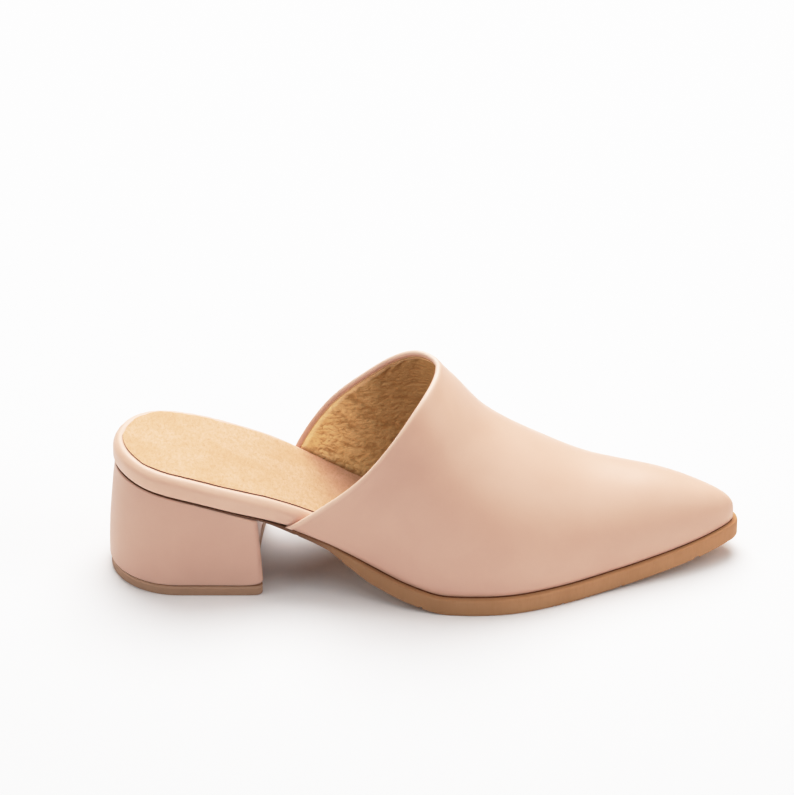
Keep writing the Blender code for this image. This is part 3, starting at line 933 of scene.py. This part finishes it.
def blush_leather(name, colour):
    """Smooth dyed leather with a fine grain and a satin finish."""
    finish = Finish(name, Coat_Weight=0.32, Coat_Roughness=0.42, Specular_IOR_Level=0.48)
    mottle = finish.cloud(26, 3.0, 0.55, distortion=0.6)
    cloudy = finish.cloud(7, 4.0, 0.6)
    grain = finish.pebble(0.62)
    fine = finish.cloud(0.42, 4.0, 0.65)
    pores = finish.step(finish.pebble(1.5, feature="F1"), 0.16, 0.05)
    dark = (0.905, 0.845, 0.815)
    finish.colour(finish.layered(
        colour,
        (finish.step(mottle, 0.38, 0.66) * 0.26, dark),
        (finish.step(cloudy, 0.45, 0.70) * 0.20, (1.03, 1.045, 1.05)),
        (finish.step(fine, 0.30, 0.75) * 0.16, dark),
        (pores * 0.16 * finish.step(mottle, 0.42, 0.60), (0.70, 0.70, 0.70)),
    ))
    finish.roughness(0.40 + 0.16 * cloudy + 0.10 * fine)
    finish.bump((cloudy, 0.32, 0.16), (grain, 0.34, 0.04), (fine, 0.35, 0.03))
    return finish


def vamp_material(colours):
    """The vamp's leather, with a painted highlight: paler and whiter where it is turned over at the
    topline.
    """
    finish = blush_leather("vamp leather", colours.leather)
    # Painted highlight: the turned edge of the topline is painted paler and whiter.
    turned = 1.0 - finish.step(finish.mark("from_topline"), 0.0004, 0.0022)
    finish.colour(finish.layered(colours.leather, (turned * 0.75, (1.22, 1.38, 1.45)), under=finish.tone))
    return finish.material


def lining_material(colours):
    """Thin tan lining leather, creased and a little glossy, with painted shade in its creases, toward the
    throat and under the turned edge.
    """
    finish = Finish("lining leather", Coat_Weight=0.10, Coat_Roughness=0.30, Specular_IOR_Level=0.5)
    distance = finish.mark("from_topline")
    warp = finish.cloud(9, 2.0)
    level = finish.stretched((0.34, 0.34, 1.0))
    slant = finish.stretched((0.6, 0.6, 1.0), (0, 35, 0))
    wrinkle = (finish.cloud(1.5, 3.0, 0.55, level, 0.9) - 0.5).away()
    fine = (finish.cloud(0.9, 2.0, 0.6, slant, 0.5) - 0.5).away()
    sway = finish.node("TexNoise", None, {"Vector": finish.place, "Scale": 170.0, "Detail": 3.0}, "Color")
    sway = finish.node("VectorMath", {"operation": "SCALE"}, {0: sway, "Scale": 0.0065})
    wide = finish.stretched((0.42, 0.62, 1.25), (0, 10, 0))
    swayed = finish.node("VectorMath", {"operation": "ADD"}, {0: wide, 1: sway})
    wide_cell = finish.pebble(3.4, swayed, "DISTANCE_TO_EDGE")
    small_cell = finish.pebble(1.5, swayed, "DISTANCE_TO_EDGE")
    crack_shade = (1.0 - finish.step(wide_cell, 0.0, 0.10)) * finish.step(finish.cloud(6, 2.0), 0.36, 0.56)
    crackle_shade = (1.0 - finish.step(small_cell, 0.0, 0.12)) * finish.step(finish.cloud(4, 2.0), 0.40, 0.62)
    lines = (1.0 - finish.step(wrinkle, 0.0, 0.075)).clear()
    thin = (1.0 - finish.step(fine, 0.0, 0.09)).clear()
    lip = finish.step(distance, 0.0024, 0.0027) * (1.0 - finish.step(distance, 0.0034, 0.0050))
    finish.colour(finish.layered(
        colours.lining,
        (finish.step(warp, 0.30, 0.72) * 0.6, (0.80, 0.74, 0.62)),
        # Painted shade: the wrinkle, crack and crackle lines are darkened as shade in creases.
        (lines * 0.22, (0.60, 0.48, 0.34)),
        (thin * 0.14, (0.62, 0.52, 0.38)),
        (crack_shade * 0.80, (0.46, 0.32, 0.19)),
        (crackle_shade * 0.20, (0.52, 0.38, 0.24)),
        # Painted shade in the creases of the mesh.
        (finish.step(finish.mark("crease_shade"), 0.20, 1.0) * 0.70, (0.40, 0.26, 0.15)),
        # Painted shade toward the throat, pale on the lip, and painted shade in the gap under the turned
        # edge
        (finish.step(finish.axis("x"), 0.050, 0.092) * 0.80, (0.38, 0.28, 0.20)),
        (lip * 0.62, (1.10, 1.16, 1.40)),
        ((1.0 - finish.step(distance, 0.0022, 0.0026)) * 0.85, (0.34, 0.24, 0.20)),
    ))
    finish.roughness(0.42 + 0.22 * finish.cloud(1.2, 3.0))
    height = 1.0 - (lines * 0.4 + thin * 0.25)
    folds = finish.step(wide_cell, 0.0, 0.30)
    finish.bump((folds, 0.5, 0.18), (finish.step(small_cell, 0.0, 0.30), 0.25, 0.06), (height, 0.5, 0.14))
    return finish.material


def suede_material(colours):
    """Brushed suede: a short nap, fibres, faint marks of the brush, and painted shade on its cut edge."""
    finish = Finish("sock suede", Sheen_Weight=0.22, Sheen_Roughness=0.6, Specular_IOR_Level=0.2)
    broad = finish.cloud(19, 3.0, 0.5, distortion=0.8)
    mid = finish.cloud(2.6, 4.0, 0.65)
    nap = finish.cloud(1.1, 4.0, 0.75, finish.stretched((1.0, 0.55, 1.0), (0, 0, 28)))
    fibre = finish.cloud(0.6, 3.0, 0.7, finish.stretched((1.0, 0.30, 1.0), (0, 0, -35)))
    fleck = finish.step(finish.cloud(0.9, 3.0, 0.8), 0.60, 0.70)
    tone = finish.layered(
        colours.suede,
        (finish.step(broad, 0.38, 0.64) * 0.80, (0.90, 0.84, 0.76)),
        (finish.step(mid, 0.42, 0.66) * 0.50, (0.84, 0.76, 0.66)),
        (finish.step(nap, 0.42, 0.66) * 0.60, (0.78, 0.68, 0.56)),
        (finish.step(fibre, 0.50, 0.68) * 0.34, (1.08, 1.10, 1.16)),
        (fleck * 0.75, (0.60, 0.48, 0.36)),
    )
    # Painted shade: the sheet's sides, the cut edge, are painted dark.
    facing = finish.node("NewGeometry", None, None, "Normal")
    upward = finish.node("SeparateXYZ", None, {"Vector": facing}, "Z")
    cut = 1.0 - finish.step(upward.away(), 0.25, 0.60)
    finish.colour(finish.mix(cut, tone, colours.cut_edge_shade))
    finish.roughness(0.90 + 0.08 * nap)
    finish.bump((mid, 0.4, 0.18), (nap, 0.8, 0.16), (fibre, 0.7, 0.10))
    return finish.material


def sole_material(colours):
    """Moulded sole rubber: buffed sides, dark under the seat, painted shade toward the waist, tan under
    the forefoot.
    """
    finish = Finish("sole rubber", Specular_IOR_Level=0.35)
    x = finish.axis("x")
    seat = 1.0 - finish.step(x + 0.004 * (finish.cloud(6, 2.0) - 0.5), 0.040, 0.072)
    buff = finish.cloud(0.55, 3.0, 0.6, finish.stretched((1.0, 1.0, 0.10)))
    streak = finish.cloud(3.0, 3.0, 0.6, finish.stretched((1.0, 1.0, 0.18)))
    mottle = finish.cloud(14, 3.0, 0.55)
    fine = finish.cloud(0.5, 4.0, 0.7)
    # Painted shade: darker toward the waist, under the arch.
    waist_shade = 1.0 - finish.step(x, 0.055, 0.150)
    tone = finish.layered(
        colours.sole,
        (finish.step(mottle, 0.35, 0.68) * 0.55, (0.90, 0.84, 0.78)),
        (finish.step(streak, 0.42, 0.68) * 0.30, (0.88, 0.83, 0.78)),
        (finish.step(buff, 0.45, 0.72) * 0.26, (0.84, 0.77, 0.70)),
        (finish.step(fine, 0.55, 0.75) * 0.30, (1.14, 1.16, 1.18)),
        (waist_shade * 0.72, (0.60, 0.55, 0.52)),
    )
    finish.colour(finish.mix(seat, tone, colours.seat_edge))
    finish.roughness(0.52 + 0.22 * streak)
    finish.bump((streak, 0.22, 0.10), (buff, 0.30, 0.06), (fine, 0.35, 0.05))
    return finish.material


def gap_shade_material(colours):
    """Painted shade, dark and mottled, in the crease between vamp and sole."""
    finish = Finish("seam shade", Specular_IOR_Level=0.3)
    spread = finish.cloud(3.0, 3.0, 0.6)
    finish.colour(finish.layered(colours.seam, (finish.step(spread, 0.35, 0.70) * 0.6, (0.55,) * 3)))
    finish.roughness(0.62 + 0.2 * spread)
    finish.bump((finish.cloud(0.6, 3.0), 0.5, 0.06))
    return finish.material


def lift_material(colours):
    """Ground rubber of the lift, with a painted highlight: a paler line near its top."""
    finish = Finish("lift rubber", Specular_IOR_Level=0.35)
    z = finish.axis("z") * (1 / LIFT_THICKNESS)
    waver = 0.05 * (finish.cloud(5, 2.0) - 0.5)
    # Painted highlight: a paler line near the top edge.
    line = 1.0 - finish.step((z + waver - 0.80).away(), 0.02, 0.085)
    ground = finish.cloud(0.6, 3.0, 0.6, finish.stretched((0.25, 0.25, 1.0)))
    fine = finish.cloud(0.45, 4.0, 0.7)
    mottle = finish.cloud(9, 3.0)
    finish.colour(finish.layered(
        colours.lift,
        (finish.step(mottle, 0.35, 0.70) * 0.5, (0.86, 0.86, 0.86)),
        (finish.step(ground, 0.42, 0.70) * 0.4, (0.80, 0.80, 0.80)),
        (line * 0.55, (1.35, 1.38, 1.42)),
    ))
    finish.roughness(0.60 + 0.2 * fine)
    finish.bump((ground, 0.4, 0.07), (fine, 0.4, 0.05))
    return finish.material


def floor_material(colours):
    """A plain pale sweep of paper."""
    finish = Finish("pale paper", Specular_IOR_Level=0.1)
    soft = finish.cloud(300, 2.0)
    finish.colour(finish.layered(colours.floor, (soft, (0.992, 0.992, 0.992))))
    finish.roughness(0.9 + 0.05 * soft)
    return finish.material


# Settings


def metres(name, description, default):
    """A size in metres that the user can change."""
    return FloatProperty(name=name, description=description, default=default, min=0.0, unit="LENGTH")


def factor(name, description, default):
    """A plain factor that the user can change."""
    return FloatProperty(name=name, description=description, default=default, min=0.0, subtype="FACTOR")


def dye(name, description, default):
    """A colour that the user can change."""
    return FloatVectorProperty(
        name=name, description=description, default=default, size=3, min=0.0, max=1.0, subtype="COLOR"
    )


class MuleSizes(bpy.types.PropertyGroup):
    """The sizes of the visible detail."""

    fold_width: metres("Turned topline", "Leather turned down inside the topline", 0.0024)
    leather_thickness: metres("Leather", "Thickness of the vamp's outer leather", 0.0011)
    wrinkle_depth: factor("Lining wrinkles", "Depth of the lining's wrinkles", 1.0)
    sock_wander: factor("Sock edge", "How far the cut edge of the sock wanders", 1.0)
    nick_depth: factor("Sole nicks", "Depth of the nicks along the sole's edge", 2.0)


class MuleColours(bpy.types.PropertyGroup):
    """The colours of the finishes."""

    leather: dye("Blush leather", "Vamp, rim and heel cover", (0.735, 0.442, 0.330))
    lining: dye("Lining", "Tan leather inside the vamp", (0.900, 0.620, 0.300))
    suede: dye("Suede", "The sock", (0.725, 0.420, 0.266))
    # Painted shade for the sock's cut edge
    cut_edge_shade: dye("Cut edge", "Edge of the sock", (0.190, 0.095, 0.050))
    sole: dye("Sole", "Sole rubber under the forefoot", (0.505, 0.255, 0.117))
    seat_edge: dye("Seat edge", "Stained sole edge above the heel", (0.150, 0.062, 0.030))
    # Painted shade in the gap between vamp and sole
    seam: dye("Seam", "Line between vamp and sole", (0.200, 0.075, 0.030))
    lift: dye("Lift", "Rubber under the heel", (0.470, 0.270, 0.168))
    floor: dye("Floor", "Pale paper under the shoe", (0.900, 0.900, 0.905))


# Stage

# The camera's place comes from the photograph's own perspective.
VIEW_ELEVATION = math.radians(30)
VIEW_DISTANCE = 1.6
VIEW_TARGET = Vector((0.1001, -0.0013, 0.025))
FRAME_WIDTH, FRAME_HEIGHT = 794, 795
TARGET_PIXEL = (425.0, 508.5)
PIXELS_PER_METRE = 2380.0
SENSOR_WIDTH = 36.0
FLOOR_REACH = 6.0


def make_camera():
    """The camera, which puts the target at its pixel of the picture."""
    look = Vector((0, math.cos(VIEW_ELEVATION), -math.sin(VIEW_ELEVATION)))
    right = Vector((1, 0, 0))
    up = right.cross(look)
    aside = (TARGET_PIXEL[0] - FRAME_WIDTH / 2) / PIXELS_PER_METRE
    above = (FRAME_HEIGHT / 2 - TARGET_PIXEL[1]) / PIXELS_PER_METRE
    place = VIEW_TARGET - look * VIEW_DISTANCE - right * aside - up * above
    data = bpy.data.cameras.new("camera")
    data.sensor_width = SENSOR_WIDTH
    data.lens = PIXELS_PER_METRE * VIEW_DISTANCE * SENSOR_WIDTH / max(FRAME_WIDTH, FRAME_HEIGHT)
    data.clip_end = 50.0
    camera = bpy.data.objects.new("camera", data)
    axes = Matrix((right, up, -look)).transposed().to_4x4()
    camera.matrix_world = Matrix.Translation(place) @ axes
    bpy.context.scene.collection.objects.link(camera)
    bpy.context.scene.camera = camera


# The soft boxes: name, place, target, metres across, watts and tint.
LIGHTS = (
    ("key", (0.10, 0.74, 1.30), (0.10, 0.0, 0.03), 1.4, 34.0, (1.0, 0.99, 0.975)),
    ("overhead", (0.10, -0.20, 1.45), (0.10, 0.0, 0.03), 1.5, 7.5, (1.0, 0.99, 0.975)),
    ("left", (-1.10, -0.50, 1.00), (0.03, 0.0, 0.05), 0.8, 3.3, (1.0, 0.985, 0.96)),
    ("toe", (1.15, -0.25, 0.80), (0.15, 0.0, 0.04), 0.9, 4.8, (1.0, 0.99, 0.97)),
)


# A small lamp that reaches into the open back of the vamp, and lights the lining alone.
INSIDE_LIGHT = ("inside", (-0.55, -0.42, 0.42), (0.065, 0.02, 0.065), 0.30, 5.0, (1.0, 0.97, 0.90))


def make_lamp(name, place, target, size, power, tint):
    """A round soft box that faces its target."""
    data = bpy.data.lights.new(name, "AREA")
    data.shape = "DISK"
    data.size = size
    data.energy = power
    data.color = tint
    lamp = bpy.data.objects.new(name, data)
    lamp.location = place
    lamp.rotation_euler = (Vector(target) - Vector(place)).to_track_quat("-Z", "Y").to_euler()
    bpy.context.scene.collection.objects.link(lamp)
    return lamp


def light_inside(piece):
    """The lamp for the lining."""
    lit = bpy.data.collections.new("lit inside")
    lit.objects.link(piece)
    make_lamp(*INSIDE_LIGHT).light_linking.receiver_collection = lit


def make_lights():
    """Soft boxes and an even pale surround."""
    for row in LIGHTS:
        make_lamp(*row)
    world = bpy.data.worlds.new("surround")
    world.use_nodes = True
    sky = world.node_tree.nodes["Background"]
    sky.inputs["Color"].default_value = (0.96, 0.97, 1.0, 1.0)
    sky.inputs["Strength"].default_value = 0.20
    bpy.context.scene.world = world


# Scene brightness and how bright it shows: pale leather fades softly toward white.
TONE_CURVE = ((0.0, 0.0), (0.3, 0.3), (0.6, 0.6), (0.9, 0.79), (1.4, 0.95), (2.0, 0.99), (2.5, 1.0))


def set_tone(scene):
    """Plain colours with a soft shoulder."""
    view = scene.view_settings
    view.view_transform = "Standard"
    view.use_curve_mapping = True
    mapping = view.curve_mapping
    mapping.clip_max_x = TONE_CURVE[-1][0]
    shoulder = mapping.curves[3]
    shoulder.points[-1].location = TONE_CURVE[-1]
    for bright, shown in TONE_CURVE[1:-1]:
        shoulder.points.new(bright, shown)
    mapping.update()


def make_floor(colours):
    """A wide flat floor just under the shoe."""
    corners = [(FLOOR_REACH * x, FLOOR_REACH * y, 0) for x, y in ((-1, -1), (1, -1), (1, 1), (-1, 1))]
    mesh = bpy.data.meshes.new("floor")
    mesh.from_pydata(corners, [], [(0, 1, 2, 3)])
    mesh.materials.append(floor_material(colours))
    floor = bpy.data.objects.new("floor", mesh)
    bpy.context.scene.collection.objects.link(floor)


# Operators


class MULE_OT_stage(bpy.types.Operator):
    """Make the pale floor, the soft lights and the camera"""

    bl_idname = "mule.stage"
    bl_label = "Stage"

    def execute(self, context):
        make_floor(context.scene.mule_colours)
        make_lights()
        make_camera()
        set_tone(context.scene)
        return {"FINISHED"}


class MULE_OT_vamp(bpy.types.Operator):
    """Make the vamp's outer leather and its turned topline"""

    bl_idname = "mule.vamp"
    bl_label = "Vamp leather"

    def execute(self, context):
        material = vamp_material(context.scene.mule_colours)
        settle(make_vamp(context.scene.mule_sizes), "upper", material)
        return {"FINISHED"}


class MULE_OT_lining(bpy.types.Operator):
    """Make the wrinkled lining inside the vamp"""

    bl_idname = "mule.lining"
    bl_label = "Vamp lining"

    def execute(self, context):
        piece = make_lining(context.scene.mule_sizes)
        settle(piece, "upper", lining_material(context.scene.mule_colours))
        light_inside(piece)
        return {"FINISHED"}


class MULE_OT_rim(bpy.types.Operator):
    """Make the padded insole in its leather wrapping"""

    bl_idname = "mule.rim"
    bl_label = "Wrapped rim"

    def execute(self, context):
        colours = context.scene.mule_colours
        # Painted light: the rim's leather is a paler copy of the vamp's.
        finish = blush_leather("rim leather", shade_of(colours.leather, (1.09, 1.13, 1.14)))
        settle(make_rim(), "insole", finish.material)
        return {"FINISHED"}


class MULE_OT_sock(bpy.types.Operator):
    """Make the suede sock"""

    bl_idname = "mule.sock"
    bl_label = "Sock"

    def execute(self, context):
        material = suede_material(context.scene.mule_colours)
        settle(make_sock(context.scene.mule_sizes), "sock_lining", material)
        return {"FINISHED"}


class MULE_OT_sole(bpy.types.Operator):
    """Make the sole and the strip of painted shade above it"""

    bl_idname = "mule.sole"
    bl_label = "Sole"

    def execute(self, context):
        colours = context.scene.mule_colours
        piece = make_outsole(context.scene.mule_sizes)
        settle(piece, "outsole", sole_material(colours))
        settle(make_gap_shade(), "outsole", gap_shade_material(colours))
        return {"FINISHED"}


class MULE_OT_heel(bpy.types.Operator):
    """Make the covered heel block and its lift"""

    bl_idname = "mule.heel"
    bl_label = "Heel and lift"

    def execute(self, context):
        colours = context.scene.mule_colours
        finish = blush_leather("heel leather", shade_of(colours.leather, (0.91, 0.905, 0.90)))
        settle(make_heel_block(), "heel_block", finish.material)
        settle(make_top_lift(), "top_lift", lift_material(colours))
        return {"FINISHED"}


PIECE_OPERATORS = (
    MULE_OT_stage,
    MULE_OT_vamp,
    MULE_OT_lining,
    MULE_OT_rim,
    MULE_OT_sock,
    MULE_OT_sole,
    MULE_OT_heel,
)


class MULE_PT_pieces(bpy.types.Panel):
    """The pieces of the shoe, with their sizes and colours"""

    bl_idname = "MULE_PT_pieces"
    bl_label = "Block heel mule"
    bl_space_type = "VIEW_3D"
    bl_region_type = "UI"
    bl_category = "Mule"

    def draw(self, context):
        for operator in PIECE_OPERATORS:
            self.layout.operator(operator.bl_idname)
        for group in (context.scene.mule_sizes, context.scene.mule_colours):
            column = self.layout.column()
            for name in group.__annotations__:
                column.prop(group, name)


CLASSES = (MuleSizes, MuleColours, *PIECE_OPERATORS, MULE_PT_pieces)


def register():
    for kind in CLASSES:
        bpy.utils.register_class(kind)
    bpy.types.Scene.mule_sizes = PointerProperty(type=MuleSizes)
    bpy.types.Scene.mule_colours = PointerProperty(type=MuleColours)


def unregister():
    del bpy.types.Scene.mule_colours
    del bpy.types.Scene.mule_sizes
    for kind in reversed(CLASSES):
        bpy.utils.unregister_class(kind)


def main():
    register()
    bpy.ops.mule.stage()
    bpy.ops.mule.vamp()
    bpy.ops.mule.lining()
    bpy.ops.mule.rim()
    bpy.ops.mule.sock()
    bpy.ops.mule.sole()
    bpy.ops.mule.heel()


if __name__ == "__main__":
    main()
